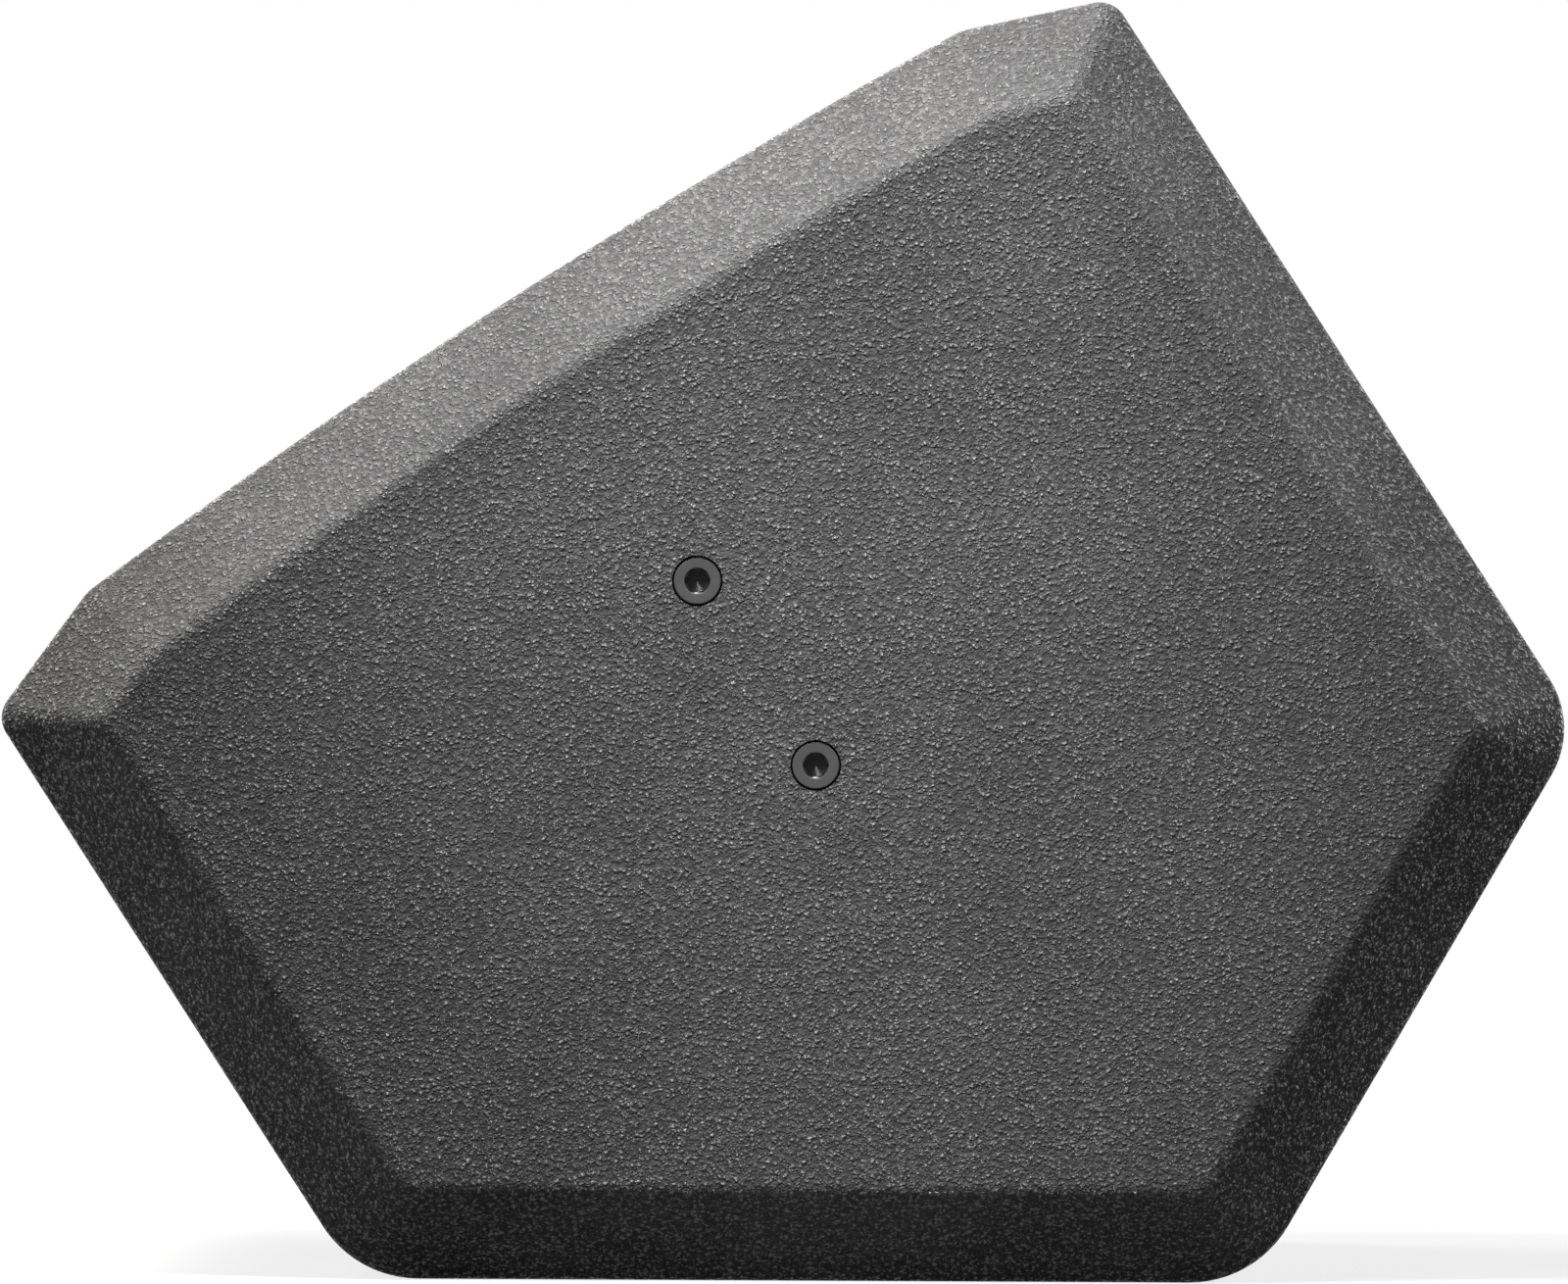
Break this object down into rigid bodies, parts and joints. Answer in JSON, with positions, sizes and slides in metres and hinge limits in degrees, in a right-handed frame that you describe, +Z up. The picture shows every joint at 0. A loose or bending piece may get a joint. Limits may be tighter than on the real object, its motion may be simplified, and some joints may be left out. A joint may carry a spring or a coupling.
{
  "type": "powered public address speaker",
  "caption": "Wedge-shaped powered floor speaker: bevelled textured cabinet, bowed grille, coaxial driver, recessed amplifier panel, carrying handle and pole socket.",
  "frame": {"origin": "middle of the base board, on the floor", "axes": "+X towards the rear, +Y towards the right cheek seen from behind, +Z up"},
  "size_m": [0.4295, 0.46, 0.3517],
  "materials": {
    "coat": "dark textured coating on plywood",
    "raw_board": "painted plywood",
    "grille_steel": "black powder coat",
    "foam": "open-cell foam",
    "fixing": "black oxide",
    "steel": "zinc plated",
    "cast": "black coated casting",
    "paper": "treated paper and cloth",
    "ferrite": "sintered ferrite",
    "copper": "enamelled wire",
    "plastic": "moulded",
    "rubber": "soft grip",
    "contact": "plated contacts",
    "lens": "clear lens",
    "circuit": "circuit board",
    "can": "sleeved can"
  },
  "bodies": {
    "cabinet": {"amp_board": "circuit", "amp_cover": "grille_steel", "amp_pan": "grille_steel", "back_plate": "steel", "base_panel": "coat", "board_standoffs": "steel", "capacitors": "can", "compression_driver": "cast", "driver_basket": "cast", "driver_screws": "fixing", "driver_tee_nuts": "steel", "front_baffle": "raw_board", "grille": "grille_steel", "grille_foam": "foam", "grille_rail_crown": "raw_board", "grille_rail_nose": "raw_board", "grille_screws": "fixing", "handle_cup": "plastic", "handle_grip": "rubber", "handle_rod": "steel", "heat_sink": "cast", "horn": "plastic", "input_insert": "plastic", "left_cheek": "coat", "left_rigging_plate": "steel", "level_pot": "steel", "magnet": "ferrite", "mains_inlet": "plastic", "mains_pins": "contact", "nose_panel": "coat", "panel_screws": "fixing", "pole_socket": "plastic", "port_tube_1": "plastic", "port_tube_2": "plastic", "port_tube_3": "plastic", "port_tube_4": "plastic", "preset_switch": "steel", "rear_panel": "coat", "rigging_screws": "fixing", "right_cheek": "coat", "right_rigging_plate": "steel", "spider": "paper", "status_lights": "lens", "surround": "paper", "switch_frame": "plastic", "top_panel": "coat", "top_plate": "steel", "transformer": "copper", "xlr_input": "plastic", "xlr_link": "plastic", "xlr_link_pins": "contact"},
    "cone_assembly": {"cone": "paper", "coil_former": "paper", "voice_coil": "copper"},
    "level_control": {"level_knob": "plastic", "level_shaft": "steel"},
    "rocker": {"power_rocker": "plastic"},
    "button": {"preset_button": "plastic"},
    "release_tab": {"xlr_latch": "plastic"}
  },
  "joints": [
    {"name": "cone_excursion", "type": "slide", "parent": "cabinet", "child": "cone_assembly", "axis": [-0.5446, 0, 0.8387], "range_m": [-0.005, 0.005], "stiffness_N_per_m": 5000, "deforming": ["surround", "spider"]},
    {"name": "level_turn", "type": "hinge", "parent": "cabinet", "child": "level_control", "pos_m": [0.17215, 0.088, 0.10426], "axis": [0.866, 0, -0.5], "range_deg": [-150, 150]},
    {"name": "power_tilt", "type": "hinge", "parent": "cabinet", "child": "rocker", "pos_m": [0.16505, -0.144, 0.10836], "axis": [0, 1, 0], "range_deg": [-18, 0]},
    {"name": "preset_press", "type": "slide", "parent": "cabinet", "child": "button", "axis": [-0.866, 0, 0.5], "range_m": [0, 0.002], "stiffness_N_per_m": 400},
    {"name": "release_press", "type": "slide", "parent": "cabinet", "child": "release_tab", "axis": [-0.866, 0, 0.5], "range_m": [0, 0.0012], "stiffness_N_per_m": 500}
  ]
}
